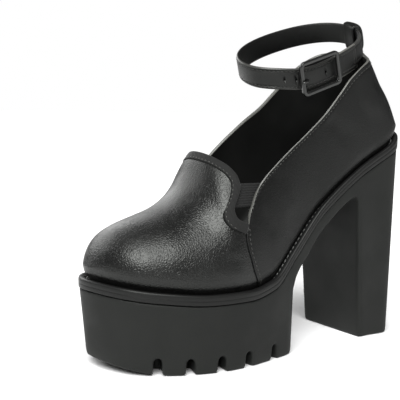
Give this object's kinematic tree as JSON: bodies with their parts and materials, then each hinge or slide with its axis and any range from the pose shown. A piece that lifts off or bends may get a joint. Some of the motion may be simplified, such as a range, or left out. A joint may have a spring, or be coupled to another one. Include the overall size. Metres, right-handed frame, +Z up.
{
  "type": "platform shoe",
  "caption": "Slip-on platform shoe for the left foot: block heel, lugged platform with a raised welt, tongue with elastic gores, open throat and a buckled ankle strap.",
  "frame": {"origin": "centre of the shoe's bounding box, on the floor that it stands on", "axes": "+X to the outer (lateral) side of the left foot, +Y from toe to heel, +Z up"},
  "size_m": [0.0876, 0.2242, 0.2118],
  "materials": {
    "rubber_sole": "moulded matte black",
    "rubber_welt": "moulded black with a slight sheen",
    "leather_upper": "tumbled black leather, semi-gloss",
    "leather_lining": "smooth black lining leather",
    "elastic_gore": "ribbed black elastic",
    "leather_strap": "black leather with turned edges",
    "painted_buckle": "black enamel on cast zinc"
  },
  "bodies": {
    "root": {"sole_unit": "rubber_sole", "welt": "rubber_welt", "insole": "leather_lining", "upper": "leather_upper", "gore_lateral": "elastic_gore", "gore_medial": "elastic_gore", "ankle_strap": "leather_strap", "strap_fold": "leather_strap", "buckle_frame": "painted_buckle", "buckle_prong": "painted_buckle", "strap_loop": "leather_strap"}
  },
  "joints": []
}
